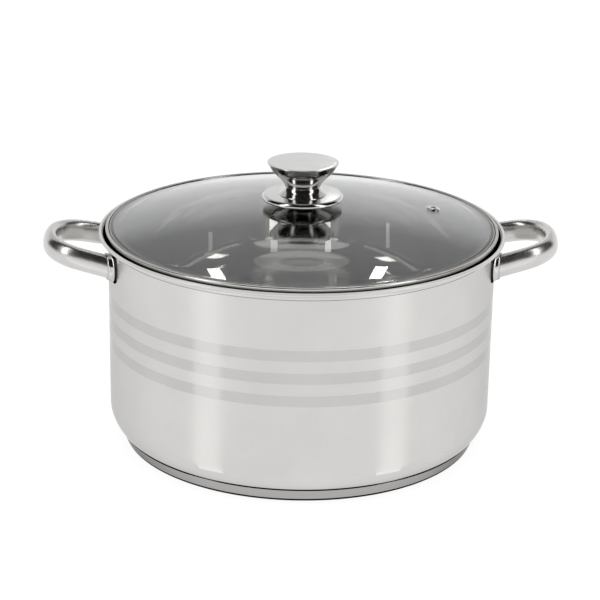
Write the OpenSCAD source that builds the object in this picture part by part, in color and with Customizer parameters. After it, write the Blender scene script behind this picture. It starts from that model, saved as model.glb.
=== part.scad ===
// Low wide stock pot, 30 cm class, with a domed glass lid.
// Millimetres. +Z is up, +X runs through both side handles, the front faces -Y.
// The origin is the centre of the underside of the base.

/* [Pot] */
// Outer radius of the straight wall
wall_r = 150; // [149:0.5:151]
// Height of the foot of the flared lip
flare_z = 161.5; // [140:0.5:180]
// Sheet thickness of the wall
wall_t = 0.8; // [0.6:0.1:1.2]
// Radius of the corner between wall and floor
corner_r = 24; // [23:1:25]
// Height of the middle satin band
satin_mid_z = 101.7; // [90:0.5:110]
// Pitch of the three satin bands
satin_pitch = 17.4; // [14:0.2:20]
// Width of each satin band
satin_w = 8.4; // [5:0.2:11]

/* [Base] */
// Outer radius of the base at its seam
base_r = 142.4; // [142:0.2:142.8]
// Radius of the flat on which the pot stands
base_flat_r = 135.8; // [132:0.2:138]
// Height of the base seam
base_h = 10.5; // [10.5:0.1:10.8]

/* [Handles] */
// Reach of each handle from the pot axis, before it is tilted
handle_reach = 200.8; // [194:0.2:206]
// Height of the handle tube section
tube_h = 17.5; // [14:0.5:18]
// Width of the handle tube section
tube_w = 10.4; // [9:0.2:12]
// Wall of the handle tube
tube_t = 1.2; // [0.8:0.1:1.8]
// Height of the tube centre at its feet
handle_z = 149; // [142:0.5:149.5]
// Upward tilt of each loop
handle_tilt = 12; // [8:0.5:14]

/* [Lid] */
// Height of the glass at its centre
dome_top_z = 188; // [182:0.5:194]
// Thickness of the glass
glass_t = 3.8; // [3:0.1:4.5]
// Distance of the steam vent from the lid axis
vent_r = 104.5; // [80:0.5:120]
// Direction of the steam vent around the lid
vent_az = 7.5; // [0:0.5:360]

/* [Knob] */
// Radius of the flat top of the knob
knob_top_r = 27.5; // [22:0.5:32]
// Height of the top of the knob
knob_top_z = 221.3; // [216:0.1:228]
// Radius of the waist of the knob
knob_waist_r = 14; // [12:0.1:16]
// Radius of the saucer under the knob
dish_r = 31.4; // [30:0.1:34]

/* [Hidden] */
$fn = 120;
eps = 0.01;
wall_ri = wall_r - wall_t;
shell_z = 4.8;                       // outside of the sheet floor
floor_z = shell_z + wall_t;          // inside of the floor
corner_c = [wall_r - corner_r, shell_z + corner_r];
flare_R = 5;                         // bend at the foot of the lip
flare_a = 50;                        // how far the lip bends outwards
bead_r = 1.4;                        // rolled edge of the lip
bead_c = [wall_r + 5.7, flare_z + 5.7];
satin_d = 0.06;                      // depth of the satin bands
rim_top = flare_z + 9.5;             // top of the lid band
rim_bot = flare_z + 5.1;             // underside of the lid band
rim_r = wall_r + 1.9;                // outside of the lid band
rim_t = 0.5;
glass_edge_r = rim_r - rim_t;
glass_edge_top = rim_top - rim_t;
dome_a = wall_r - 2;
dome_h = dome_top_z - glass_edge_top;
dome_R = (dome_a * dome_a + dome_h * dome_h) / (2 * dome_h);
dome_c = dome_top_z - dome_R;        // centre height of the outside of the dome
inner_R = dome_R - glass_t;          // inside of the dome
bore_r = 5.2;
vent_tilt = asin(vent_r / dome_R);
ped_r = 15;                          // foot of the saucer
ped_z = dome_top_z + 0.9;            // top of the upper gasket
dish_z = knob_top_z - 25.3;          // flat top of the saucer
waist_z = dish_z + 6.6;
cap_t = 1.2;                         // thickness of the knob cap
in_top = dome_c + inner_R;           // inside of the glass at the axis
foot_x = sqrt(wall_r * wall_r - 41.2 * 41.2);

// Points on an arc in the profile plane, from angle a0 to a1 about c.
function arc(c, r, a0, a1, n) =
  [for (i = [0:n]) c + r * [cos(a0 + (a1 - a0) * i / n), sin(a0 + (a1 - a0) * i / n)]];

// Points on a closed oval of width w and height h.
function oval(w, h, n) =
  [for (i = [0:n - 1]) [w / 2 * cos(360 * i / n), h / 2 * sin(360 * i / n)]];

// Height of a point of radius r on the outside of the dome.
function dome_z(r) = dome_c + sqrt(dome_R * dome_R - r * r);

// ---------- pot ----------
module pot_profile() {
  fc = [wall_r + flare_R, flare_z - 0.5];
  polygon(concat(
    [[0, shell_z]],
    arc(corner_c, corner_r, -90, 0, 12),
    [[wall_r, satin_mid_z - satin_pitch - satin_w / 2],
     [wall_r - satin_d, satin_mid_z - satin_pitch - satin_w / 2],
     [wall_r - satin_d, satin_mid_z - satin_pitch + satin_w / 2],
     [wall_r, satin_mid_z - satin_pitch + satin_w / 2],
     [wall_r, satin_mid_z - satin_w / 2],
     [wall_r - satin_d, satin_mid_z - satin_w / 2],
     [wall_r - satin_d, satin_mid_z + satin_w / 2],
     [wall_r, satin_mid_z + satin_w / 2],
     [wall_r, satin_mid_z + satin_pitch - satin_w / 2],
     [wall_r - satin_d, satin_mid_z + satin_pitch - satin_w / 2],
     [wall_r - satin_d, satin_mid_z + satin_pitch + satin_w / 2],
     [wall_r, satin_mid_z + satin_pitch + satin_w / 2]],
    arc(fc, flare_R, 180, 180 - flare_a, 6),
    [bead_c + [0.2, -0.6], bead_c + [-0.5, 0.2]],
    arc(fc, flare_R + wall_t, 180 - flare_a, 180, 6),
    arc(corner_c, corner_r - wall_t, 0, -90, 12),
    [[0, floor_z]]));
  translate(bead_c) circle(r = bead_r, $fn = 24);
}

// One pair of weld marks inside the wall behind a handle foot.
module weld_marks(a) {
  rotate([0, 0, a]) for (z = [handle_z + 3, handle_z - 7])
    translate([wall_ri - 0.35, 0, z]) rotate([0, 90, 0]) cylinder(r = 3.2, h = 0.9, $fn = 24);
}

module pot_body() {
  color([0.78, 0.77, 0.75]) {
    union() {
      rotate_extrude($fn = 180) pot_profile();
      for (a = [-18.6, 18.6, 161.4, 198.6]) weld_marks(a);
    }
  }
}

// Inside of the pressed cap: the rolled corner and the point where it meets the pot.
cap_in_low = [base_flat_r + 2.07, 2.26];
cap_in_top = [base_r - 1.15, base_h - 0.18];

module base_cap() {
  // Pressed steel cap under the floor.
  color([0.6, 0.6, 0.6]) rotate_extrude($fn = 180)
    polygon(concat(
      [[0, 0], [base_flat_r, 0]],
      arc([base_flat_r, 3.2], 3.2, -90, -24, 4),
      [[base_r, base_h], [base_r - 0.95, base_h], cap_in_top, cap_in_low,
       [base_flat_r - 0.2, 0.8], [0, 0.8]]));
}

module core_disc() {
  // Conducting layer, sealed between the floor and the cap.
  color([0.7, 0.7, 0.72]) rotate_extrude($fn = 180)
    polygon(concat([[0, 0.8], [base_flat_r - 0.2, 0.8], cap_in_low, cap_in_top],
      arc(corner_c, corner_r, -52.5, -90, 5), [[0, shell_z]]));
}

// ---------- handles ----------
bar_R = 56;
turn_R = 31;
bar_a = 12.2;
arm_d = 12;
bar_c = handle_reach - tube_w / 2 - bar_R;
turn_c = [bar_c + (bar_R - turn_R) * cos(bar_a), (bar_R - turn_R) * sin(bar_a)];
turn_p = turn_c + turn_R * [sin(arm_d), cos(arm_d)];
arm_l = 38;
lap = 0;                             // overlap of one section into the next

// The path of a handle with any flat section given as a child.
module loop(w, h) {
  // outer bar
  translate([bar_c, 0, 0]) rotate([0, 0, -bar_a - lap]) rotate_extrude(angle = 2 * (bar_a + lap), $fn = 180)
    translate([bar_R, 0]) polygon(oval(w, h, 28));
  for (s = [0, 1]) mirror([0, s, 0]) {
    // corner
    translate([turn_c[0], turn_c[1], 0]) rotate([0, 0, bar_a])
      rotate_extrude(angle = 90 - arm_d - bar_a, $fn = 120)
      translate([turn_R, 0]) polygon(oval(w, h, 28));
    // arm back to the wall
    translate([turn_p[0], turn_p[1], 0]) rotate([0, 0, -arm_d]) rotate([0, -90, 0]) rotate([0, 0, 90])
      translate([0, 0, -lap]) linear_extrude(height = arm_l) polygon(oval(w, h, 28));
  }
}

module tilted() {
  translate([foot_x, 0, handle_z]) rotate([0, -handle_tilt, 0]) translate([-foot_x, 0, 0]) children();
}

module handle_tube() {
  difference() {
    tilted() loop(tube_w, tube_h);
    tilted() loop(tube_w - 2 * tube_t, tube_h - 2 * tube_t);
    cylinder(r = wall_r, h = 200, $fn = 180);
  }
}

// Flared collar where an arm meets the wall.
module ferrule() {
  difference() {
    tilted() translate([turn_p[0], turn_p[1], 0]) rotate([0, 0, -arm_d]) rotate([0, -90, 0]) rotate([0, 0, 90])
      difference() {
        union() {
          translate([0, 0, 20.4]) linear_extrude(height = 18) polygon(oval(tube_w + 2, tube_h + 1.6, 28));
          translate([0, 0, 24]) linear_extrude(height = 14.4) polygon(oval(tube_w + 4, tube_h + 3.2, 28));
        }
        translate([0, 0, 16]) linear_extrude(height = 30) polygon(oval(tube_w, tube_h, 28));
      }
    cylinder(r = wall_r, h = 200, $fn = 180);
  }
}

module right_handle_tube() { color([0.76, 0.75, 0.74]) handle_tube(); }
module left_handle_tube() { color([0.76, 0.75, 0.74]) mirror([1, 0, 0]) handle_tube(); }
module right_rear_ferrule() { color([0.7, 0.7, 0.69]) ferrule(); }
module right_front_ferrule() { color([0.7, 0.7, 0.69]) mirror([0, 1, 0]) ferrule(); }
module left_rear_ferrule() { color([0.7, 0.7, 0.69]) mirror([1, 0, 0]) ferrule(); }
module left_front_ferrule() { color([0.7, 0.7, 0.69]) mirror([1, 0, 0]) mirror([0, 1, 0]) ferrule(); }

// ---------- lid ----------
// A frame whose Z leaves the dome at the vent and whose origin lies on the outside of the glass.
module at_vent() {
  translate([0, 0, dome_c]) rotate([0, 0, vent_az]) rotate([0, vent_tilt, 0]) translate([0, 0, dome_R]) children();
}

module lid_glass() {
  color([0.8, 0.86, 0.86, 0.35]) difference() {
    rotate_extrude($fn = 180) polygon(concat(
      [[0, dome_top_z]],
      [for (r = [8:7:dome_a - 1]) [r, dome_z(r)]],
      [[dome_a, glass_edge_top], [glass_edge_r, glass_edge_top],
       [glass_edge_r, rim_bot + rim_t], [dome_a - 5, rim_bot + rim_t]],
      [for (r = [dome_a - 10:-7:8]) [r, dome_c + sqrt(inner_R * inner_R - r * r)]],
      [[0, in_top]]));
    translate([0, 0, in_top - 5]) cylinder(r = bore_r, h = 20, $fn = 48);
    at_vent() translate([0, 0, -12]) cylinder(r = 4, h = 24, $fn = 48);
  }
}

module lid_rim_band() {
  color([0.74, 0.74, 0.72]) rotate_extrude($fn = 180) {
    // outer web, upper leg and lower leg around the edge of the glass
    polygon([[rim_r - rim_t, rim_bot], [rim_r, rim_bot + 0.3], [rim_r, rim_top - 0.5],
             [rim_r - 0.5, rim_top], [dome_a, rim_top], [dome_a, glass_edge_top],
             [glass_edge_r, glass_edge_top], [glass_edge_r, rim_bot + rim_t],
             [wall_ri - 1.4, rim_bot + rim_t], [wall_ri - 1.4, rim_bot - 5], [wall_ri - 0.9, rim_bot - 5],
             [wall_ri - 0.9, rim_bot]]);
  }
}

module vent_grommet() {
  color([0.75, 0.75, 0.73]) at_vent() rotate_extrude($fn = 64)
    polygon([[2.2, 1.1], [2.8, 1.5], [4.6, 1.2], [5.5, 0.5], [5.5, 0.08], [4, 0.08],
             [4, -glass_t - 0.02], [5.2, -glass_t - 0.02], [5.0, -glass_t - 0.5], [3.4, -glass_t - 0.9],
             [2.2, -glass_t - 0.6]]);
}

module gasket_upper() {
  color([0.08, 0.08, 0.08]) difference() {
    translate([0, 0, dome_top_z - 1.5]) cylinder(r = ped_r - 0.6, h = ped_z - dome_top_z + 1.5, $fn = 96);
    translate([0, 0, dome_c]) rotate_extrude($fn = 96) polygon(concat([[0, 0]],
      [for (r = [0:3:30]) [r, sqrt(dome_R * dome_R - r * r)]], [[30, 0]]));
    translate([0, 0, dome_top_z - 5]) cylinder(r = bore_r, h = 20, $fn = 48);
  }
}

module gasket_lower() {
  color([0.08, 0.08, 0.08]) difference() {
    translate([0, 0, in_top - 1.6]) cylinder(r = 11.4, h = 1.48, $fn = 96);
    translate([0, 0, in_top - 5]) cylinder(r = bore_r, h = 20, $fn = 48);
  }
}

module under_cup() {
  // Flared bell washer under the glass.
  color([0.7, 0.7, 0.7]) rotate_extrude($fn = 96)
    translate([0, in_top]) polygon([[4.2, -1.6], [11.2, -1.6], [12.2, -2], [13.4, -3.4], [15.2, -5],
      [17.8, -6.6], [20.6, -7.7], [22, -8.4], [22.2, -9], [21.9, -9.6], [21.2, -9.6],
      [20.2, -8.7], [17.2, -7.6], [14.4, -6], [12.4, -4.3], [11.4, -2.8], [4.2, -2.8]]);
}

module lock_washer() {
  color([0.6, 0.6, 0.6]) translate([0, 0, in_top - 3.8]) difference() {
    cylinder(r = 6.2, h = 1, $fn = 48);
    translate([0, 0, -1]) cylinder(r = 3.1, h = 3, $fn = 48);
  }
}

module knob_screw() {
  // Pan head screw: shank through the cup and the glass into the insert.
  color([0.65, 0.65, 0.65]) difference() {
    union() {
      rotate_extrude($fn = 48) polygon([[0, in_top - 7], [3.4, in_top - 7], [4.9, in_top - 6],
        [5.1, in_top - 3.8], [0, in_top - 3.8]]);
      translate([0, 0, in_top - 3.9]) cylinder(r = 2.5, h = 3.9 + glass_t + 20, $fn = 48);
    }
    // cross recess
    for (a = [0, 90]) rotate([0, 0, a]) translate([-2.4, -0.5, in_top - 7.1]) cube([4.8, 1, 1.8]);
  }
}

// ---------- knob ----------
module knob_base_dish() {
  color([0.76, 0.76, 0.75]) rotate_extrude($fn = 120)
    polygon([[bore_r, dish_z], [29.2, dish_z], [dish_r - 0.9, dish_z - 0.5],
             [dish_r - 0.2, dish_z - 1.6], [dish_r, dish_z - 3], [dish_r - 0.4, dish_z - 3.9],
             [ped_r + 1.2, ped_z + 0.9], [ped_r, ped_z], [ped_r - 3, ped_z],
             [ped_r - 3, ped_z + 0.8], [ped_r + 0.2, ped_z + 1.7], [dish_r - 2, dish_z - 3],
             [28.4, dish_z - 1.1], [bore_r, dish_z - 1.1]]);
}

// Outline of the knob above its waist: height above the waist and share of the way to the top radius.
knob_line = [[1.4, 0.023], [3.4, 0.129], [5.5, 0.265], [7.6, 0.424], [9.5, 0.576],
             [11.5, 0.712], [13.4, 0.811], [15.4, 0.894], [knob_top_z - cap_t - waist_z, 1]];

module knob_body() {
  // Hourglass sleeve, open above and below.
  up = knob_top_r - 0.3 - knob_waist_r;
  n = len(knob_line) - 1;
  color([0.72, 0.72, 0.71]) rotate_extrude($fn = 120)
    polygon(concat(
      [[knob_waist_r + 4.9, dish_z], [knob_waist_r + 2.8, dish_z + 2], [knob_waist_r + 1, dish_z + 4],
       [knob_waist_r, waist_z]],
      [for (i = [0:n]) [knob_waist_r + up * knob_line[i][1], waist_z + knob_line[i][0]]],
      [for (i = [n:-1:0]) [knob_waist_r - 1.1 + up * knob_line[i][1], waist_z + knob_line[i][0]]],
      [[knob_waist_r - 1.1, waist_z], [knob_waist_r - 0.1, dish_z + 4], [knob_waist_r + 1.7, dish_z + 2],
       [knob_waist_r + 3.7, dish_z]]));
}

module knob_top_cap() {
  color([0.78, 0.78, 0.77]) rotate_extrude($fn = 120)
    polygon([[0, knob_top_z], [knob_top_r - 0.4, knob_top_z], [knob_top_r, knob_top_z - 0.5],
             [knob_top_r - 0.1, knob_top_z - cap_t], [0, knob_top_z - cap_t]]);
}

module knob_insert() {
  // Threaded boss inside the knob.
  color([0.6, 0.55, 0.4]) translate([0, 0, dish_z]) difference() {
    cylinder(r = knob_waist_r - 2.4, h = knob_top_z - cap_t - dish_z, $fn = 64);
    translate([0, 0, -1]) cylinder(r = 2.55, h = 19, $fn = 48);
  }
}

pot_body();
core_disc();
base_cap();
left_handle_tube();
right_handle_tube();
left_front_ferrule();
left_rear_ferrule();
right_front_ferrule();
right_rear_ferrule();
lid_glass();
lid_rim_band();
vent_grommet();
knob_base_dish();
knob_body();
knob_top_cap();
knob_insert();
knob_screw();
under_cup();
lock_washer();
gasket_upper();
gasket_lower();
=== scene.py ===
import bpy, bmesh, math
from math import sin, cos, pi, radians, sqrt, atan2, asin
from mathutils import Vector, Matrix


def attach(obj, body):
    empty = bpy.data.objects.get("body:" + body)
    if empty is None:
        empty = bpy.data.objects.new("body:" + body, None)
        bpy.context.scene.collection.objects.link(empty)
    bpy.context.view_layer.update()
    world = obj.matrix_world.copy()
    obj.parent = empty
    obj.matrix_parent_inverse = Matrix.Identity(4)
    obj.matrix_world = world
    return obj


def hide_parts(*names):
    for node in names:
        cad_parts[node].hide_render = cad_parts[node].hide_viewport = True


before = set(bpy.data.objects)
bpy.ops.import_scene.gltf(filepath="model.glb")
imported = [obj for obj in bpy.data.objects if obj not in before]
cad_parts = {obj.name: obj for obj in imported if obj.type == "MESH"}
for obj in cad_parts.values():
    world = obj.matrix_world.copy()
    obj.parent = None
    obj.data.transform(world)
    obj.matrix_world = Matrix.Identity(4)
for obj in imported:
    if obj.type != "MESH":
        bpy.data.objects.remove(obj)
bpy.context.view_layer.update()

MM = 0.001

# ------------------------------------------------------------------ helpers


def new_object(name, bm, sharp=32.0):
    """A mesh object from bm, smooth shaded, with edges sharper than the angle kept crisp."""
    bmesh.ops.recalc_face_normals(bm, faces=bm.faces)
    lim = radians(sharp)
    for f in bm.faces:
        f.smooth = True
    for e in bm.edges:
        if len(e.link_faces) == 2 and e.calc_face_angle(0.0) > lim:
            e.smooth = False
    me = bpy.data.meshes.new(name)
    bm.to_mesh(me)
    bm.free()
    ob = bpy.data.objects.new(name, me)
    bpy.context.scene.collection.objects.link(ob)
    return ob


def lathe(name, prof, seg=256, closed=True, sharp=32.0, matrix=None):
    """Turns a closed profile of (radius, height) in millimetres round Z. Points on the axis become one vertex."""
    bm = bmesh.new()
    rings = []
    for r, z in prof:
        if r < 1e-6:
            rings.append([bm.verts.new((0, 0, z * MM))])
        else:
            rings.append([bm.verts.new((r * MM * cos(2 * pi * i / seg), r * MM * sin(2 * pi * i / seg), z * MM)) for i in range(seg)])
    n = len(rings)
    for k in range(n if closed else n - 1):
        a, b = rings[k], rings[(k + 1) % n]
        if len(a) == 1 and len(b) == 1:
            continue
        for i in range(seg):
            j = (i + 1) % seg
            if len(a) == 1:
                bm.faces.new((a[0], b[i], b[j]))
            elif len(b) == 1:
                bm.faces.new((a[i], a[j], b[0]))
            else:
                bm.faces.new((a[i], a[j], b[j], b[i]))
    if matrix is not None:
        bm.transform(matrix)
    return new_object(name, bm, sharp)


def arc(cx, cz, r, a0, a1, n):
    """Points on an arc in degrees."""
    return [(cx + r * cos(radians(a0 + (a1 - a0) * i / n)), cz + r * sin(radians(a0 + (a1 - a0) * i / n))) for i in range(n + 1)]


def line(p, q, n):
    """Points from p to q, without q."""
    return [(p[0] + (q[0] - p[0]) * i / n, p[1] + (q[1] - p[1]) * i / n) for i in range(n)]


def rounded(pts, n=5):
    """A closed polygon of (x, z, radius) with its corners rounded."""
    out = []
    m = len(pts)
    for k in range(m):
        x, z, r = pts[k]
        if r <= 0:
            out.append((x, z))
            continue
        p = Vector((x, z))
        a = (Vector(pts[k - 1][:2]) - p)
        b = (Vector(pts[(k + 1) % m][:2]) - p)
        la, lb = a.length, b.length
        a.normalize(); b.normalize()
        half = a.angle(b) / 2
        if half > radians(88):
            out.append((x, z))
            continue
        t = min(r / math.tan(half), la * 0.49, lb * 0.49)
        rr = t * math.tan(half)
        c = p + (a + b).normalized() * (rr / sin(half))
        s, e = p + a * t, p + b * t
        a0 = atan2(s.y - c.y, s.x - c.x)
        a1 = atan2(e.y - c.y, e.x - c.x)
        d = (a1 - a0 + pi) % (2 * pi) - pi
        for i in range(n + 1):
            t_ = a0 + d * i / n
            out.append((c.x + rr * cos(t_), c.y + rr * sin(t_)))
    return out


# ------------------------------------------------------------------ materials


def base_material(name):
    m = bpy.data.materials.new(name)
    m.use_nodes = True
    nt = m.node_tree
    nt.nodes.clear()
    out = nt.nodes.new("ShaderNodeOutputMaterial")
    p = nt.nodes.new("ShaderNodeBsdfPrincipled")
    nt.links.new(p.outputs["BSDF"], out.inputs["Surface"])
    return m, nt, p


def coord(nt, scale):
    tc = nt.nodes.new("ShaderNodeTexCoord")
    mp = nt.nodes.new("ShaderNodeMapping")
    mp.inputs["Scale"].default_value = scale
    nt.links.new(tc.outputs["Object"], mp.inputs["Vector"])
    return tc, mp


def noise(nt, vec, scale, detail=3.0, rough=0.55):
    n = nt.nodes.new("ShaderNodeTexNoise")
    n.inputs["Scale"].default_value = scale
    n.inputs["Detail"].default_value = detail
    n.inputs["Roughness"].default_value = rough
    nt.links.new(vec, n.inputs["Vector"])
    return n


def remap(nt, val, a, b, lo=0.3, hi=0.7):
    m = nt.nodes.new("ShaderNodeMapRange")
    m.inputs["From Min"].default_value = lo
    m.inputs["From Max"].default_value = hi
    m.inputs["To Min"].default_value = a
    m.inputs["To Max"].default_value = b
    nt.links.new(val, m.inputs["Value"])
    return m


def tinted(nt, fac, dark, light):
    """A colour between dark and light that follows fac."""
    r = nt.nodes.new("ShaderNodeValToRGB")
    r.color_ramp.elements[0].color = (*dark, 1)
    r.color_ramp.elements[0].position = 0.3
    r.color_ramp.elements[1].color = (*light, 1)
    r.color_ramp.elements[1].position = 0.7
    nt.links.new(fac, r.inputs["Fac"])
    return r


def steel(name, colour=(0.63, 0.622, 0.608), rough=(0.05, 0.10), stretch=(1, 1, 1), scale=60.0, spread=0.03, bump=0.0):
    """Polished stainless steel: faint cloudiness in colour and gloss, with an optional fine grain."""
    m, nt, p = base_material(name)
    p.inputs["Metallic"].default_value = 1.0
    tc, mp = coord(nt, stretch)
    n = noise(nt, mp.outputs["Vector"], scale)
    d = tuple(max(0.0, c - spread) for c in colour)
    l = tuple(min(1.0, c + spread) for c in colour)
    nt.links.new(tinted(nt, n.outputs["Fac"], d, l).outputs["Color"], p.inputs["Base Color"])
    nt.links.new(remap(nt, n.outputs["Fac"], *rough).outputs["Result"], p.inputs["Roughness"])
    if bump:
        b = nt.nodes.new("ShaderNodeBump")
        b.inputs["Strength"].default_value = bump
        b.inputs["Distance"].default_value = 0.0002
        nt.links.new(n.outputs["Fac"], b.inputs["Height"])
        nt.links.new(b.outputs["Normal"], p.inputs["Normal"])
    return m


SATIN = (84.3, 101.7, 119.1)
SATIN_W = 8.4


def math_node(nt, op, a, b=None, c=None):
    """A maths node; each input is a number or a socket."""
    n = nt.nodes.new("ShaderNodeMath")
    n.operation = op
    for i, v in enumerate((a, b, c)):
        if v is None:
            continue
        if isinstance(v, (int, float)):
            n.inputs[i].default_value = v
        else:
            nt.links.new(v, n.inputs[i])
    return n.outputs[0]


def blend(nt, fac, a, b):
    """A float between a and b."""
    n = nt.nodes.new("ShaderNodeMix")
    n.data_type = "FLOAT"
    nt.links.new(fac, n.inputs["Factor"])
    for key, v in (("A", a), ("B", b)):
        if isinstance(v, (int, float)):
            n.inputs[key].default_value = v
        else:
            nt.links.new(v, n.inputs[key])
    return n.outputs["Result"]


def radius_and_height(nt, tc):
    sep = nt.nodes.new("ShaderNodeSeparateXYZ")
    nt.links.new(tc.outputs["Object"], sep.inputs["Vector"])
    x, y, z = (sep.outputs[k] for k in ("X", "Y", "Z"))
    return math_node(nt, "SQRT", math_node(nt, "ADD", math_node(nt, "MULTIPLY", x, x), math_node(nt, "MULTIPLY", y, y))), z


def wall_steel():
    """The pot: soft mirror outside with three satin bands, bright mirror inside, and painted shade: a black slot
    between lip and lid and dark lines at the crease and the seam.
    """
    m, nt, p = base_material("pot_wall_steel")
    p.inputs["Metallic"].default_value = 1.0
    tc, mp = coord(nt, (1, 1, 1))
    r, z = radius_and_height(nt, tc)
    bands = None
    for zc in SATIN:
        c = math_node(nt, "COMPARE", z, zc * MM, SATIN_W / 2 * MM)
        bands = c if bands is None else math_node(nt, "ADD", bands, c)
    outside = math_node(nt, "GREATER_THAN", r, 149.55 * MM)
    sat = math_node(nt, "MULTIPLY", bands, outside)
    # inside surfaces: radius under 149.55 mm and above the floor
    inside = math_node(nt, "MULTIPLY", math_node(nt, "LESS_THAN", r, 149.55 * MM), math_node(nt, "GREATER_THAN", z, 5.2 * MM))
    # the inner slope of the lip, down to where the lid sits, painted black as shade in the slot
    dr = math_node(nt, "SUBTRACT", r, 155.0 * MM)
    dh = math_node(nt, "SUBTRACT", z, 161.0 * MM)
    dist = math_node(nt, "SQRT", math_node(nt, "ADD", math_node(nt, "MULTIPLY", dr, dr), math_node(nt, "MULTIPLY", dh, dh)))
    slot = math_node(nt, "MULTIPLY", math_node(nt, "GREATER_THAN", dist, 5.4 * MM),
                     math_node(nt, "MULTIPLY", math_node(nt, "LESS_THAN", r, 153.9 * MM), math_node(nt, "COMPARE", z, 163.6 * MM, 3.5 * MM)))
    # the rolled edge, a little softer, and the crease where the lip leaves the wall, painted dark as shade
    roll = math_node(nt, "MULTIPLY", math_node(nt, "GREATER_THAN", z, 165.9 * MM), math_node(nt, "GREATER_THAN", r, 153.9 * MM))
    crease = math_node(nt, "MULTIPLY", outside, math_node(nt, "COMPARE", z, 161.3 * MM, 0.33 * MM))
    # fine rings round the pot
    mp2 = nt.nodes.new("ShaderNodeMapping")
    mp2.inputs["Scale"].default_value = (1, 1, 60)
    nt.links.new(tc.outputs["Object"], mp2.inputs["Vector"])
    grain = noise(nt, mp2.outputs["Vector"], 40.0, 4.0)
    cloud = noise(nt, mp.outputs["Vector"], 22.0, 2.0)
    mirror = blend(nt, inside, remap(nt, cloud.outputs["Fac"], 0.26, 0.29).outputs["Result"],
                   remap(nt, cloud.outputs["Fac"], 0.018, 0.035).outputs["Result"])
    mirror = blend(nt, math_node(nt, "MULTIPLY", math_node(nt, "LESS_THAN", r, 128.0 * MM), inside), mirror,
                   remap(nt, grain.outputs["Fac"], 0.16, 0.24).outputs["Result"])
    mirror = blend(nt, roll, mirror, 0.34)
    satin = remap(nt, grain.outputs["Fac"], 0.13, 0.17)
    nt.links.new(blend(nt, sat, mirror, satin.outputs["Result"]), p.inputs["Roughness"])
    plain = tinted(nt, cloud.outputs["Fac"], (0.60, 0.592, 0.578), (0.64, 0.633, 0.62))
    # painted shade: the outside wall under 11.3 mm, at the joint with the base cap, darkened nearly to 0.12
    seam = math_node(nt, "MULTIPLY", math_node(nt, "GREATER_THAN", r, 138.0 * MM), math_node(nt, "LESS_THAN", z, 11.3 * MM))
    # the satin bands a little darker, the crease and the seam darkened as painted shade
    tone = nt.nodes.new("ShaderNodeMix")
    tone.data_type = "RGBA"
    nt.links.new(math_node(nt, "ADD", math_node(nt, "MULTIPLY", sat, 0.17),
                           math_node(nt, "MAXIMUM", math_node(nt, "MULTIPLY", crease, 0.6), math_node(nt, "MULTIPLY", seam, 0.95))), tone.inputs["Factor"])
    nt.links.new(math_node(nt, "SUBTRACT", 1.0, math_node(nt, "MULTIPLY", roll, 0.7)), p.inputs["Metallic"])
    nt.links.new(plain.outputs["Color"], tone.inputs[6])
    tone.inputs[7].default_value = (0.12, 0.12, 0.12, 1)
    # painted shade: the slot goes nearly black, in base colour here and in specular tint next
    dark = nt.nodes.new("ShaderNodeMix")
    dark.data_type = "RGBA"
    dark.blend_type = "MIX"
    nt.links.new(slot, dark.inputs["Factor"])
    nt.links.new(tone.outputs[2], dark.inputs[6])
    dark.inputs[7].default_value = (0.03, 0.03, 0.03, 1)
    nt.links.new(dark.outputs[2], p.inputs["Base Color"])
    edge = nt.nodes.new("ShaderNodeMix")
    edge.data_type = "RGBA"
    nt.links.new(slot, edge.inputs["Factor"])
    edge.inputs[6].default_value = (0.74, 0.74, 0.74, 1)
    edge.inputs[7].default_value = (0.02, 0.02, 0.02, 1)
    nt.links.new(edge.outputs[2], p.inputs["Specular Tint"])
    b = nt.nodes.new("ShaderNodeBump")
    b.inputs["Distance"].default_value = 0.0001
    nt.links.new(math_node(nt, "MULTIPLY", sat, 0.05), b.inputs["Strength"])
    nt.links.new(grain.outputs["Fac"], b.inputs["Height"])
    nt.links.new(b.outputs["Normal"], p.inputs["Normal"])
    return m


def base_steel():
    """The base cap: turned rings, with painted shadow: black under 2.6 mm where it meets the hob."""
    m, nt, p = base_material("base_turned_steel")
    p.inputs["Metallic"].default_value = 1.0
    tc, mp = coord(nt, (1, 1, 40))
    r, z = radius_and_height(nt, tc)
    n = noise(nt, mp.outputs["Vector"], 30.0)
    tone = tinted(nt, n.outputs["Fac"], (0.39, 0.384, 0.375), (0.44, 0.434, 0.425))
    dark = nt.nodes.new("ShaderNodeMix")
    dark.data_type = "RGBA"
    # painted shadow: the cap goes black under 2.6 mm, in colour and specular tint
    nt.links.new(math_node(nt, "LESS_THAN", z, 2.6 * MM), dark.inputs["Factor"])
    nt.links.new(tone.outputs["Color"], dark.inputs[6])
    dark.inputs[7].default_value = (0.03, 0.03, 0.03, 1)
    nt.links.new(dark.outputs[2], p.inputs["Base Color"])
    nt.links.new(dark.outputs[2], p.inputs["Specular Tint"])
    nt.links.new(remap(nt, n.outputs["Fac"], 0.2, 0.3).outputs["Result"], p.inputs["Roughness"])
    return m


def collar_steel():
    """The flared collars: polished, with the dark shadow of the weld against the wall."""
    m, nt, p = base_material("collar_steel")
    p.inputs["Metallic"].default_value = 1.0
    tc, mp = coord(nt, (1, 1, 1))
    r, z = radius_and_height(nt, tc)
    n = noise(nt, mp.outputs["Vector"], 300.0)
    tone = tinted(nt, n.outputs["Fac"], (0.50, 0.493, 0.48), (0.62, 0.612, 0.60))
    dark = nt.nodes.new("ShaderNodeMix")
    dark.data_type = "RGBA"
    nt.links.new(math_node(nt, "LESS_THAN", r, 151.3 * MM), dark.inputs["Factor"])
    nt.links.new(tone.outputs["Color"], dark.inputs[6])
    dark.inputs[7].default_value = (0.02, 0.02, 0.02, 1)
    nt.links.new(dark.outputs[2], p.inputs["Base Color"])
    nt.links.new(dark.outputs[2], p.inputs["Specular Tint"])
    nt.links.new(remap(nt, n.outputs["Fac"], 0.1, 0.2).outputs["Result"], p.inputs["Roughness"])
    return m


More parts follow.
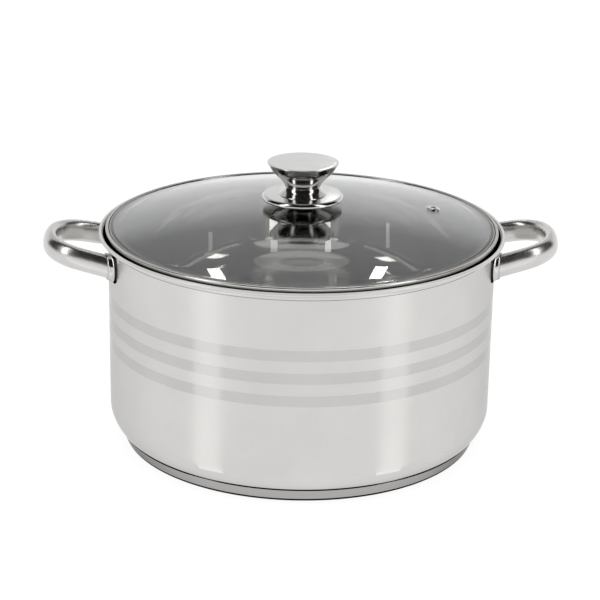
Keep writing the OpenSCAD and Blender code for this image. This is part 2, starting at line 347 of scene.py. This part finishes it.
def band_steel():
    """The lid band: polished, with painted shade: a dark ring between the glass edge and the small groove on top, and
    the band under 168.6 mm, leg included, darkened as shade in the gap against the lip.
    """
    m, nt, p = base_material("lid_band_steel")
    p.inputs["Metallic"].default_value = 1.0
    tc, mp = coord(nt, (1, 1, 1))
    r, z = radius_and_height(nt, tc)
    n = noise(nt, mp.outputs["Vector"], 60.0)
    tone = tinted(nt, n.outputs["Fac"], (0.60, 0.593, 0.575), (0.66, 0.652, 0.635))
    # painted shade: a dark ring at 148.8 to 149.5 mm radius, beside the small groove
    crimp_shade = math_node(nt, "COMPARE", r, 149.15 * MM, 0.36 * MM)
    # painted shade: everything under 168.6 mm, leg included, goes 80% toward black for the shade in the gap against
    # the lip
    gap_shade = math_node(nt, "MULTIPLY", math_node(nt, "LESS_THAN", z, 168.6 * MM), 0.8)
    dark = nt.nodes.new("ShaderNodeMix")
    dark.data_type = "RGBA"
    nt.links.new(math_node(nt, "MINIMUM", math_node(nt, "ADD", crimp_shade, gap_shade), 1.0), dark.inputs["Factor"])
    nt.links.new(tone.outputs["Color"], dark.inputs[6])
    dark.inputs[7].default_value = (0.03, 0.03, 0.03, 1)
    nt.links.new(dark.outputs[2], p.inputs["Base Color"])
    nt.links.new(dark.outputs[2], p.inputs["Specular Tint"])
    nt.links.new(remap(nt, n.outputs["Fac"], 0.1, 0.16).outputs["Result"], p.inputs["Roughness"])
    return m


def glass():
    m, nt, p = base_material("lid_clear_glass")
    p.inputs["Base Color"].default_value = (0.93, 0.955, 0.945, 1)
    p.inputs["Transmission Weight"].default_value = 1.0
    p.inputs["IOR"].default_value = 1.5
    tc, mp = coord(nt, (1, 1, 1))
    n = noise(nt, mp.outputs["Vector"], 30.0)
    nt.links.new(remap(nt, n.outputs["Fac"], 0.0, 0.012).outputs["Result"], p.inputs["Roughness"])
    return m


def rubber():
    m, nt, p = base_material("gasket_silicone")
    tc, mp = coord(nt, (1, 1, 1))
    n = noise(nt, mp.outputs["Vector"], 900.0)
    nt.links.new(tinted(nt, n.outputs["Fac"], (0.012, 0.012, 0.012), (0.03, 0.03, 0.03)).outputs["Color"], p.inputs["Base Color"])
    nt.links.new(remap(nt, n.outputs["Fac"], 0.45, 0.7).outputs["Result"], p.inputs["Roughness"])
    return m


M_WALL = wall_steel()
M_BASE = base_steel()
M_TUBE = steel("handle_mirror_steel", (0.60, 0.592, 0.58), (0.22, 0.30), (1, 1, 1), 30.0, 0.05)
M_TRIM = steel("trim_mirror_steel", (0.64, 0.633, 0.615), (0.05, 0.10), (1, 1, 1), 60.0, 0.02)
M_KNOB = steel("knob_mirror_steel", (0.60, 0.594, 0.583), (0.11, 0.17), (1, 1, 1), 80.0, 0.02)
M_WELD = steel("weld_mark_steel", (0.93, 0.925, 0.91), (0.35, 0.5), (1, 1, 1), 400.0, 0.05)
M_WELD.node_tree.nodes["Principled BSDF"].inputs["Metallic"].default_value = 0.25
M_FAST = steel("fastener_steel", (0.55, 0.55, 0.54), (0.2, 0.32), (1, 1, 1), 300.0, 0.05)
M_CORE = steel("core_aluminium", (0.75, 0.75, 0.76), (0.3, 0.4), (1, 1, 1), 120.0, 0.04)
M_BRASS = steel("insert_brass", (0.70, 0.55, 0.28), (0.2, 0.3), (1, 1, 1), 200.0, 0.05)
M_BELL = steel("bell_washer_steel", (0.22, 0.218, 0.214), (0.08, 0.14), (1, 1, 1), 90.0, 0.02)
M_RUB = rubber()
M_COLLAR = collar_steel()
M_BAND = band_steel()
M_GLASS = glass()


def finish_piece(ob, mat, body, slot, *nodes):
    ob.data.materials.clear()
    ob.data.materials.append(mat)
    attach(ob, body)
    if nodes:
        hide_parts(*nodes)
    return ob


def repaint(node, mat):
    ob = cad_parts[node]
    for s in ob.material_slots:
        s.material = mat


# ------------------------------------------------------------------ sizes, millimetres

WALL_R, WALL_T = 150.0, 0.8
WALL_I = WALL_R - WALL_T
FLARE_Z = 161.5
CORNER = 24.0
CX, CZ = WALL_R - CORNER, 4.8 + CORNER
BEAD = (WALL_R + 5.7, FLARE_Z + 5.7, 1.4)
RIM_TOP, RIM_BOT, RIM_R, RIM_T = FLARE_Z + 9.5, FLARE_Z + 5.1, WALL_R + 1.9, 0.5
GLASS_T = 3.8
DOME_TOP = 188.0
DOME_A = 148.0
EDGE_TOP = RIM_TOP - RIM_T
DOME_H = DOME_TOP - EDGE_TOP
DOME_R = (DOME_A ** 2 + DOME_H ** 2) / (2 * DOME_H)
DOME_C = DOME_TOP - DOME_R
IN_R = DOME_R - GLASS_T
IN_TOP = DOME_C + IN_R
KNOB_Z = 221.3
DISH_Z = KNOB_Z - 25.3
WAIST_Z = DISH_Z + 6.6
PED_Z = DOME_TOP + 0.9

# ------------------------------------------------------------------ pot body

fc = (WALL_R + 5.0, FLARE_Z - 0.5)
outer = line((0.0, 4.8), (CX, 4.8), 20) + arc(CX, CZ, CORNER, -90, 0, 40)
z = CZ
ys = []
for zc in SATIN:
    lo, hi = zc - SATIN_W / 2, zc + SATIN_W / 2
    outer += [(WALL_R, lo), (WALL_R, hi)]
outer += arc(fc[0], fc[1], 5.0, 180, 136, 14)
# rolled bead: from its underside round the outside and over the top to the inside
bead = arc(BEAD[0], BEAD[1], BEAD[2], -75, 172, 28)
inner = arc(fc[0], fc[1], 5.0 + WALL_T, 130, 180, 12)
wall_in = [(WALL_I, zz) for zz in (150, 130, 110, 90, 70, 50)]
floor_in = arc(CX, CZ, CORNER - WALL_T, 0, -90, 40) + line((CX, 5.6), (0.0, 5.6), 20)[1:] + [(0.0, 5.6)]
pot = lathe("pot_shell", outer + bead + inner + wall_in + floor_in, 320, sharp=38)
bm = bmesh.new(); bm.from_mesh(pot.data)
# weld marks inside, behind the handle feet
for a in (-18.6, 18.6, 161.4, 198.6):
    for zc in (152.0, 142.0):
        rot = Matrix.Rotation(radians(a), 4, "Z") @ Matrix.Translation((WALL_I * MM, 0, zc * MM)) @ Matrix.Rotation(radians(-90), 4, "Y")
        rings = []
        for (r, h) in ((3.4, -0.3), (3.2, 0.05), (2.6, 0.22), (1.6, 0.1), (0.9, 0.16), (0.0, 0.2)):
            if r == 0:
                rings.append([bm.verts.new(rot @ Vector((0, 0, h * MM)))])
            else:
                rings.append([bm.verts.new(rot @ Vector((r * MM * cos(2 * pi * i / 24), r * MM * sin(2 * pi * i / 24), h * MM))) for i in range(24)])
        for k in range(len(rings) - 1):
            A, B = rings[k], rings[k + 1]
            for i in range(24):
                j = (i + 1) % 24
                if len(B) == 1:
                    f = bm.faces.new((A[i], A[j], B[0]))
                else:
                    f = bm.faces.new((A[i], A[j], B[j], B[i]))
                f.smooth = True
                f.material_index = 1
bm.to_mesh(pot.data); bm.free()
finish_piece(pot, M_WALL, "pot", "mirror_steel", "pot_body")
pot.data.materials.append(M_WELD)

# ------------------------------------------------------------------ base

cap = [(0.0, 0.0)] + arc(135.8, 3.2, 3.2, -90, -24, 12) + [
    (142.25, 10.15), (142.32, 10.38), (142.2, 10.5), (141.45, 10.5), (141.25, 10.32), (137.87, 2.26), (135.6, 0.8), (0.0, 0.8)]
base = lathe("base_capsule", cap, 320, sharp=40)
finish_piece(base, M_BASE, "pot", "base_steel", "base_cap")
repaint("core_disc", M_CORE)

# ------------------------------------------------------------------ handles

TUBE_H, TUBE_W, HANDLE_Z, TILT = 17.5, 10.4, 149.0, radians(12.0)
REACH = 200.8
BAR_R, TURN_R, BAR_A, ARM_D = 56.0, 31.0, 12.2, 12.0
BAR_C = REACH - TUBE_W / 2 - BAR_R
TC = (BAR_C + (BAR_R - TURN_R) * cos(radians(BAR_A)), (BAR_R - TURN_R) * sin(radians(BAR_A)))
TP = (TC[0] + TURN_R * sin(radians(ARM_D)), TC[1] + TURN_R * cos(radians(ARM_D)))
FOOT_X = sqrt(WALL_R ** 2 - 41.2 ** 2)


def tilt(v, side):
    """From the flat plan of the right handle to its place; side -1 mirrors it to the left."""
    x, y, zz = v
    dx = x - FOOT_X
    return Vector((side * (FOOT_X + dx * cos(TILT) - zz * sin(TILT)) * MM, y * MM, (HANDLE_Z + dx * sin(TILT) + zz * cos(TILT)) * MM))


def section(w, h, n=48, e=2.15):
    out = []
    for i in range(n):
        t = 2 * pi * i / n
        c, s = cos(t), sin(t)
        out.append((w / 2 * math.copysign(abs(c) ** (2 / e), c), h / 2 * math.copysign(abs(s) ** (2 / e), s)))
    return out


def to_wall(p, d, v, r=149.7):
    """How far from p along the plan direction d the tilted point at height v meets the wall."""
    lo, hi = 0.0, 60.0
    for _ in range(40):
        mid = (lo + hi) / 2
        q = tilt((p[0] + d[0] * mid, p[1] + d[1] * mid, v), 1)
        if math.hypot(q.x, q.y) > r * MM:
            lo = mid
        else:
            hi = mid
    return lo


def handle(side, name, nodes):
    path = []          # plan point, plan normal (outwards)
    for i in range(0, 15):
        t = i / 14.0
        # arm, from the wall to the corner, on the +y side
        L = 35 * (1 - t)
        path.append(((TP[0] - L * cos(radians(ARM_D)), TP[1] + L * sin(radians(ARM_D))), (sin(radians(ARM_D)), cos(radians(ARM_D)))))
    for i in range(1, 25):
        a = radians(90 - ARM_D - (90 - ARM_D - BAR_A) * i / 24)
        path.append(((TC[0] + TURN_R * cos(a), TC[1] + TURN_R * sin(a)), (cos(a), sin(a))))
    for i in range(1, 15):
        a = radians(BAR_A * (1 - i / 14.0))
        path.append(((BAR_C + BAR_R * cos(a), BAR_R * sin(a)), (cos(a), sin(a))))
    path = path + [((p[0], -p[1]), (n[0], -n[1])) for p, n in reversed(path[:-1])]
    # ease the curvature where the arcs meet
    for _ in range(6):
        q = [path[0], path[1]]
        for k in range(2, len(path) - 2):
            p = [(path[k - 1][0][j] + 2 * path[k][0][j] + path[k + 1][0][j]) / 4 for j in (0, 1)]
            n = [(path[k - 1][1][j] + 2 * path[k][1][j] + path[k + 1][1][j]) / 4 for j in (0, 1)]
            l = math.hypot(*n)
            q.append(((p[0], p[1]), (n[0] / l, n[1] / l)))
        q += [path[-2], path[-1]]
        path = q
    sec = section(TUBE_W, TUBE_H)
    bm = bmesh.new()
    rings = []
    for k, (p, n) in enumerate(path):
        ring = []
        for u, v in sec:
            x, y = p[0] + n[0] * u, p[1] + n[1] * u
            if k < 8 or k > len(path) - 9:
                # hold every ring outside the wall, and the last one in it
                sgn = 1 if k < 8 else -1
                d = (-cos(radians(ARM_D)), sgn * sin(radians(ARM_D)))
                # the point on the same straight arm line, at the wall
                base_x, base_y = TP[0] + n[0] * u, (TP[1] * sgn) + n[1] * u
                dist = to_wall((base_x, base_y * sgn), (d[0], d[1] * sgn), v)
                kk = k if k < 8 else len(path) - 1 - k
                t = kk / 8.0
                end = (base_x + d[0] * dist * (1 - t) + d[0] * 15.0 * t, base_y + d[1] * dist * (1 - t) + d[1] * 15.0 * t)
                x, y = end
            ring.append(bm.verts.new(tilt((x, y, v), side)))
        rings.append(ring)
    m = len(sec)
    for k in range(len(rings) - 1):
        for i in range(m):
            j = (i + 1) % m
            bm.faces.new((rings[k][i], rings[k][j], rings[k + 1][j], rings[k + 1][i]))
    bm.faces.new(rings[0]); bm.faces.new(rings[-1])
    ob = new_object(name, bm, 60)
    return finish_piece(ob, M_TUBE, "pot", "handle_steel", *nodes)


handle(1, "right_handle_loop", ["right_handle_tube"])
handle(-1, "left_handle_loop", ["left_handle_tube"])

# distance from the wall and growth of the oval, outside first
FERRULE = [(0.0, 1.9), (0.15, 2.35), (0.5, 2.6), (0.95, 2.55), (1.4, 2.2), (1.8, 1.75), (2.3, 1.45), (3.2, 1.25), (4.4, 1.2),
           (5.4, 1.22), (6.0, 1.15), (6.45, 0.85), (6.6, 0.4), (6.6, -0.1), (4.0, -0.1), (0.0, -0.1)]


def ferrule(side, fore, name, node):
    bm = bmesh.new()
    n = (sin(radians(ARM_D)), cos(radians(ARM_D)) * fore)
    d = (-cos(radians(ARM_D)), fore * sin(radians(ARM_D)))
    rings = []
    for s, g in FERRULE:
        ring = []
        for u, v in section(TUBE_W + 2 * g, TUBE_H + 2 * g, 56):
            bx, by = TP[0] + n[0] * u, TP[1] * fore + n[1] * u
            dist = to_wall((bx, by * fore), (d[0], d[1] * fore), v) - s
            ring.append(bm.verts.new(tilt((bx + d[0] * dist, by + d[1] * dist, v), side)))
        rings.append(ring)
    m = 56
    for k in range(len(rings)):
        a, b = rings[k], rings[(k + 1) % len(rings)]
        for i in range(m):
            j = (i + 1) % m
            bm.faces.new((a[i], a[j], b[j], b[i]))
    ob = new_object(name, bm, 50)
    return finish_piece(ob, M_COLLAR, "pot", "handle_steel", node)


ferrule(1, 1, "right_rear_collar", "right_rear_ferrule")
ferrule(1, -1, "right_front_collar", "right_front_ferrule")
ferrule(-1, 1, "left_rear_collar", "left_rear_ferrule")
ferrule(-1, -1, "left_front_collar", "left_front_ferrule")

# ------------------------------------------------------------------ lid


def dz(r):
    return DOME_C + sqrt(DOME_R ** 2 - r * r)


def iz(r):
    return DOME_C + sqrt(IN_R ** 2 - r * r)


BORE = 5.2
top = [(r, dz(r)) for r in [BORE + (DOME_A - BORE) * i / 60 for i in range(61)]]
edge = [(150.6, EDGE_TOP - 0.02), (151.3, EDGE_TOP - 0.5), (151.3, RIM_BOT + RIM_T + 0.5), (150.7, RIM_BOT + RIM_T + 0.02)]
under = [(144.0, RIM_BOT + RIM_T + 0.02)] + [(r, iz(r)) for r in [139.0 - (139.0 - BORE) * i / 56 for i in range(57)]]
lens = lathe("lid_glass_dome", top + edge + under, 320, sharp=50)
finish_piece(lens, M_GLASS, "lid", "lid_glass", "lid_glass")

band = rounded([
    (RIM_R - RIM_T, RIM_BOT, 0.2), (RIM_R, RIM_BOT, 0.4), (RIM_R, RIM_TOP, 1.0), (RIM_R - 1.6, RIM_TOP, 0.15),
    (RIM_R - 2.0, RIM_TOP - 0.28, 0.2), (RIM_R - 2.4, RIM_TOP, 0.15),
    (DOME_A + 0.02, RIM_TOP, 0.24), (DOME_A + 0.02, EDGE_TOP, 0.1), (RIM_R - RIM_T, EDGE_TOP, 0),
    (RIM_R - RIM_T, RIM_BOT + RIM_T, 0), (WALL_I - 1.4, RIM_BOT + RIM_T, 0), (WALL_I - 1.4, RIM_BOT - 5, 0.15),
    (WALL_I - 0.9, RIM_BOT - 5, 0.15), (WALL_I - 0.9, RIM_BOT, 0.3)], 6)
rim = lathe("lid_steel_rim", band, 320, sharp=50)
finish_piece(rim, M_BAND, "lid", "trim_steel", "lid_rim_band")

VR, VAZ = 104.5, radians(7.5)
vent_m = (Matrix.Translation((0, 0, DOME_C * MM)) @ Matrix.Rotation(VAZ, 4, "Z")
          @ Matrix.Rotation(asin(VR / DOME_R), 4, "Y") @ Matrix.Translation((0, 0, DOME_R * MM)))
gprof = rounded([(2.2, 1.0, 0.5), (3.0, 1.45, 0.6), (4.6, 1.25, 0.8), (5.5, 0.5, 0.3), (5.5, 0.08, 0.1), (4.0, 0.08, 0), (4.0, -3.82, 0),
                 (5.2, -3.84, 0.1), (5.0, -4.3, 0.25), (3.4, -4.7, 0.3), (2.2, -4.4, 0.3)], 5)
vent = lathe("steam_vent_eyelet", gprof, 64, sharp=50, matrix=vent_m)
finish_piece(vent, M_TRIM, "lid", "trim_steel", "vent_grommet")

# ------------------------------------------------------------------ knob

dish = rounded([
    (5.2, DISH_Z, 0), (29.9, DISH_Z, 1.6), (31.25, DISH_Z - 1.7, 1.8), (31.4, DISH_Z - 3.1, 0.8), (31.0, DISH_Z - 3.85, 0.4),
    (16.3, PED_Z + 0.9, 1.2), (15.0, PED_Z, 0.3), (12.0, PED_Z, 0.2), (12.0, PED_Z + 0.8, 0.3),
    (15.2, PED_Z + 1.8, 1.0), (29.4, DISH_Z - 3.0, 0.6), (28.6, DISH_Z - 1.1, 0.8), (5.2, DISH_Z - 1.1, 0)], 8)
d = lathe("knob_saucer", dish, 192, sharp=40)
finish_piece(d, M_KNOB, "lid", "knob_steel", "knob_base_dish")


def flowing(pts, n=5):
    """A smooth curve through the points."""
    out = []
    for i in range(len(pts) - 1):
        p0, p1, p2, p3 = pts[max(i - 1, 0)], pts[i], pts[i + 1], pts[min(i + 2, len(pts) - 1)]
        for j in range(n):
            t = j / n
            out.append(tuple(0.5 * (2 * p1[a] + (p2[a] - p0[a]) * t + (2 * p0[a] - 5 * p1[a] + 4 * p2[a] - p3[a]) * t * t
                                    + (3 * p1[a] - p0[a] - 3 * p2[a] + p3[a]) * t ** 3) for a in (0, 1)))
    return out + [pts[-1]]


CAP_B = KNOB_Z - 1.2
foot_line = flowing([(18.75, DISH_Z + 0.25), (16.85, DISH_Z + 2.0), (15.05, DISH_Z + 4.0), (14.15, WAIST_Z - 0.45)])
cup_line = flowing([(14.15, WAIST_Z + 0.35), (14.45, WAIST_Z + 1.4), (15.75, WAIST_Z + 3.4), (17.5, WAIST_Z + 5.5), (19.55, WAIST_Z + 7.6),
                    (21.55, WAIST_Z + 9.5), (23.3, WAIST_Z + 11.5), (24.65, WAIST_Z + 13.4), (25.75, WAIST_Z + 15.4), (26.85, CAP_B - 0.02)])
inside = [(26.0, CAP_B - 0.02), (24.6, WAIST_Z + 15.4), (22.2, WAIST_Z + 11.6), (18.4, WAIST_Z + 7.6), (14.6, WAIST_Z + 3.4),
          (13.0, WAIST_Z + 0.8), (12.95, WAIST_Z), (13.1, WAIST_Z - 0.8), (15.6, DISH_Z + 2.0), (17.6, DISH_Z + 0.02)]
hour = [(18.8, DISH_Z + 0.02)] + foot_line + [(13.8, WAIST_Z - 0.1), (13.8, WAIST_Z + 0.1)] + cup_line + inside
k = lathe("knob_waist_sleeve", hour, 192, sharp=40)
finish_piece(k, M_KNOB, "lid", "knob_steel", "knob_body")

capp = [(0.0, KNOB_Z)] + [(r, KNOB_Z) for r in (6, 12, 18, 23)] + rounded([
    (26.9, KNOB_Z, 0.35), (27.5, KNOB_Z - 0.55, 0.3), (27.2, CAP_B, 0.2)], 6)[0:0] + arc(27.0, KNOB_Z - 0.5, 0.5, 90, 0, 6) + [(27.45, CAP_B + 0.3), (27.2, CAP_B + 0.02), (26.0, CAP_B), (0.0, CAP_B)]
c = lathe("knob_flat_cap", capp, 192, sharp=40)
finish_piece(c, M_KNOB, "lid", "knob_steel", "knob_top_cap")

cupp = ([(4.2, IN_TOP - 1.6), (11.0, IN_TOP - 1.6)]
        + flowing([(11.5, IN_TOP - 1.7), (12.3, IN_TOP - 2.3), (13.4, IN_TOP - 3.5), (15.3, IN_TOP - 5.1), (17.9, IN_TOP - 6.6), (20.6, IN_TOP - 7.75)], 6)
        + arc(21.55, IN_TOP - 8.85, 0.62, 75, -95, 10)
        + flowing([(20.9, IN_TOP - 9.2), (20.1, IN_TOP - 8.7), (17.3, IN_TOP - 7.6), (14.5, IN_TOP - 6.0), (12.5, IN_TOP - 4.3), (11.4, IN_TOP - 2.85)], 4)
        + [(4.2, IN_TOP - 2.8)])
u = lathe("under_glass_bell", cupp, 128, sharp=40)
finish_piece(u, M_BELL, "lid", "trim_steel", "under_cup")

gu = [(BORE, dz(BORE) + 0.01)] + [(r, dz(r) + 0.01) for r in (8, 11, 13)] + [(14.1, dz(14.1) + 0.01), (14.4, dz(14.3) + 0.3), (14.4, PED_Z - 0.2), (14.1, PED_Z), (BORE, PED_Z)]
g = lathe("upper_gasket_ring", gu, 128, sharp=40)
finish_piece(g, M_RUB, "lid", "gasket_rubber", "gasket_upper")

for node, mat in (("gasket_lower", M_RUB), ("knob_insert", M_BRASS), ("knob_screw", M_FAST), ("lock_washer", M_FAST)):
    repaint(node, mat)

# ------------------------------------------------------------------ stage


def stage_mesh(name, verts, faces):
    me = bpy.data.meshes.new(name)
    me.from_pydata(verts, [], faces)
    ob = bpy.data.objects.new(name, me)
    bpy.context.scene.collection.objects.link(ob)
    return ob


def emitter(name, colour, strength):
    m = bpy.data.materials.new(name)
    m.use_nodes = True
    nt = m.node_tree
    nt.nodes.clear()
    o = nt.nodes.new("ShaderNodeOutputMaterial")
    e = nt.nodes.new("ShaderNodeEmission")
    e.inputs["Color"].default_value = (*colour, 1)
    e.inputs["Strength"].default_value = strength
    nt.links.new(e.outputs[0], o.inputs["Surface"])
    return m


S = 14.0
floor = stage_mesh("stage_floor", [(-S, -S, 0), (S, -S, 0), (S, S, 0), (-S, S, 0)], [(0, 1, 2, 3)])
fm = bpy.data.materials.new("stage_floor_paper")
fm.use_nodes = True
nt = fm.node_tree
nt.nodes.clear()
o = nt.nodes.new("ShaderNodeOutputMaterial")
add = nt.nodes.new("ShaderNodeAddShader")
df = nt.nodes.new("ShaderNodeBsdfDiffuse")
df.inputs["Color"].default_value = (0.14, 0.14, 0.14, 1)
em = nt.nodes.new("ShaderNodeEmission")
em.inputs["Color"].default_value = (1, 1, 1, 1)
em.inputs["Strength"].default_value = 0.90
nt.links.new(df.outputs[0], add.inputs[0]); nt.links.new(em.outputs[0], add.inputs[1])
nt.links.new(add.outputs[0], o.inputs["Surface"])
floor.data.materials.append(fm)
floor.location.z = -0.0002


TURN = 3.2          # the pot stands turned by this many degrees to the camera


def patch(name, az0, az1, el0, el1, radius, mat, n=40, m=14, centre=(0, 0, 0.1)):
    """A piece of a sphere round the pot. Azimuth 0 is towards the camera and runs towards +X."""
    az0, az1 = az0 - TURN, az1 - TURN
    verts, faces = [], []
    for j in range(m + 1):
        el = radians(el0 + (el1 - el0) * j / m)
        for i in range(n + 1):
            az = radians(az0 + (az1 - az0) * i / n)
            verts.append((centre[0] + radius * cos(el) * sin(az), centre[1] - radius * cos(el) * cos(az), centre[2] + radius * sin(el)))
    for j in range(m):
        for i in range(n):
            a = j * (n + 1) + i
            faces.append((a, a + 1, a + n + 2, a + n + 1))
    ob = stage_mesh(name, verts, faces)
    ob.data.materials.append(mat)
    ob.visible_camera = False
    ob.visible_diffuse = False
    ob.visible_shadow = False
    ob.visible_volume_scatter = False
    return ob


def fading(name, radius, steps):
    """An emitter whose strength follows the height, from pairs of (elevation in degrees, strength)."""
    m = emitter(name, (1, 1, 1), 1.0)
    nt = m.node_tree
    tc = nt.nodes.new("ShaderNodeTexCoord")
    sep = nt.nodes.new("ShaderNodeSeparateXYZ")
    nt.links.new(tc.outputs["Object"], sep.inputs["Vector"])
    top = 0.1 + radius
    ramp = nt.nodes.new("ShaderNodeValToRGB")
    els = ramp.color_ramp.elements
    for i, (el, v) in enumerate(steps):
        pos = (0.1 + radius * sin(radians(el))) / top
        e = els[i] if i < 2 else els.new(pos)
        e.position = pos
        e.color = (v, v, v, 1)
    nt.links.new(math_node(nt, "DIVIDE", sep.outputs["Z"], top), ramp.inputs["Fac"])
    em = next(n for n in nt.nodes if n.type == "EMISSION")
    nt.links.new(ramp.outputs["Color"], em.inputs["Color"])
    return m


DARK = emitter("stage_dark_room", (1, 1, 1), 0.012)
BOX = emitter("stage_softbox", (1.0, 0.985, 0.96), 3.4)
BACK = fading("stage_rear_wall", 4.2, [(2, 1.0), (19, 0.95), (27, 0.66), (42, 0.75), (78, 0.6)])
patch("stage_room_front", -118, 118, 1.0, 80, 4.0, DARK)
patch("stage_room_rear", 112, 248, 2.0, 84, 4.2, BACK)
patch("stage_softbox_left", -67, -52, 4, 56, 3.6, BOX, 10, 14)
patch("stage_softbox_right", 52, 67, 4, 56, 3.6, BOX, 10, 14)



def sheet_on_floor(name, a0, a1, mat, n=8, near=0.01, far=1.6):
    """A bright sheet of paper lying on the floor, seen only in the polished wall.

    It shows in the wall between the azimuths a0 and a1, as an upright column.
    """
    verts = []
    for d in (near, far):
        for i in range(n + 1):
            t = radians(a0 + (a1 - a0) * i / n)
            x, y = 0.152 * sin(t) + d * sin(2 * t), -0.152 * cos(t) - d * cos(2 * t)
            k = radians(-TURN)
            verts.append((x * cos(k) - y * sin(k), x * sin(k) + y * cos(k), 0.0004))
    ob = stage_mesh(name, verts, [(i, i + 1, i + n + 2, i + n + 1) for i in range(n)])
    ob.data.materials.append(mat)
    for flag in ("visible_camera", "visible_diffuse", "visible_shadow", "visible_transmission", "visible_volume_scatter"):
        setattr(ob, flag, False)


STRIP = emitter("stage_floor_strip", (1.0, 1.0, 1.0), 1.31)
sheet_on_floor("stage_strip_left", -32.0, -23.5, STRIP)
sheet_on_floor("stage_strip_right", 24.5, 33.0, STRIP)

CAMERA = (Matrix.Rotation(radians(-TURN), 4, "Z") @ Matrix.Translation((-0.000638, -1.430398, 0.615980))
          @ Matrix.Rotation(radians(90 - 19.52687), 4, "X") @ Matrix.Rotation(radians(0.96318), 4, "Z"))
FOCUS = 1930.658     # focal length in picture points, for a picture 600 points wide


def off_dome(px, py, far=3.0):
    """Where a lamp hangs that shows in the glass at the picture point (px, py)."""
    d = (CAMERA.to_3x3() @ Vector(((px - 300) / FOCUS, (300 - py) / FOCUS, -1))).normalized()
    o = CAMERA.translation - Vector((0, 0, DOME_C * MM))
    b = o.dot(d)
    hit = o + d * (-b - sqrt(b * b - (o.dot(o) - (DOME_R * MM) ** 2)))
    n = hit.normalized()
    return hit + Vector((0, 0, DOME_C * MM)) + (d - 2 * d.dot(n) * n) * far


def lamp(name, grid, strength):
    """A soft lamp through a grid of points, seen only in reflections."""
    rows, cols = len(grid), len(grid[0])
    verts = [tuple(v) for row in grid for v in row]
    faces = [(j * cols + i, j * cols + i + 1, (j + 1) * cols + i + 1, (j + 1) * cols + i) for j in range(rows - 1) for i in range(cols - 1)]
    ob = stage_mesh(name, verts, faces)
    ob.data.materials.append(emitter(name, (1.0, 0.99, 0.97), strength))
    for flag in ("visible_camera", "visible_diffuse", "visible_shadow", "visible_transmission", "visible_volume_scatter"):
        setattr(ob, flag, False)


def strip(name, x0, y0, x1, y1, strength, lean=0.0, n=6):
    lamp(name, [[off_dome(x0 + (x1 - x0) * i / n + lean * (j / n - 0.5), y0 + (y1 - y0) * j / n) for i in range(n + 1)] for j in range(n + 1)], strength)


def ring(name, cx, cy, a0, b0, a1, b1, dy, strength, n=40):
    lamp(name, [[off_dome(cx + (a0 + (a1 - a0) * j) * cos(2 * pi * i / n), cy + dy * j + (b0 + (b1 - b0) * j) * sin(2 * pi * i / n)) for i in range(n + 1)] for j in (0, 1)], strength)


strip("stage_lamp_near_left", 269.5, 219, 277.0, 234, 4.6)
strip("stage_lamp_near_left_low", 270.5, 240, 277.5, 252, 2.4)
strip("stage_lamp_near_right", 324.0, 206, 330.5, 233, 4.4)
strip("stage_lamp_near_right_low", 325.0, 237, 331.0, 252, 3.4)
strip("stage_lamp_far_left", 208.5, 232, 212.5, 251, 1.5)
strip("stage_lamp_far_right", 386, 223, 389.5, 248, 1.7)
strip("stage_lamp_low_left", 210, 268.5, 223, 279.5, 13.0, 7)
strip("stage_lamp_low_right", 372, 266.5, 385, 279, 13.0, -7)
ring("stage_lamp_disc", 301.5, 261, 48, 10.5, 23, 4.5, 1, 1.3)

world = bpy.data.worlds.new("studio_white")
bpy.context.scene.world = world
world.use_nodes = True
bg = world.node_tree.nodes.get("Background")
bg.inputs["Color"].default_value = (1.0, 1.0, 1.0, 1)
bg.inputs["Strength"].default_value = 1.0

for sx in (-1, 1):
    ld = bpy.data.lights.new("key_%s" % ("left" if sx < 0 else "right"), "AREA")
    ld.shape = "RECTANGLE"
    ld.size, ld.size_y = 0.5, 1.2
    ld.energy = 5.0
    lo = bpy.data.objects.new(ld.name, ld)
    bpy.context.scene.collection.objects.link(lo)
    lo.location = Matrix.Rotation(radians(-TURN), 3, "Z") @ Vector((sx * 1.5, -0.9, 1.3))
    lo.rotation_euler = (Vector((0, 0, 0)) - lo.location).to_track_quat("-Z", "Y").to_euler()
    lo.visible_glossy = False
    lo.visible_camera = False
    lo.visible_transmission = False

bpy.context.scene.view_settings.view_transform = "Standard"

# ------------------------------------------------------------------ camera

cam = bpy.data.cameras.new("camera")
cam.sensor_width = 36.0
cam.lens = 115.839
cam.clip_end = 60
co = bpy.data.objects.new("camera", cam)
bpy.context.scene.collection.objects.link(co)
co.matrix_world = CAMERA
bpy.context.scene.camera = co
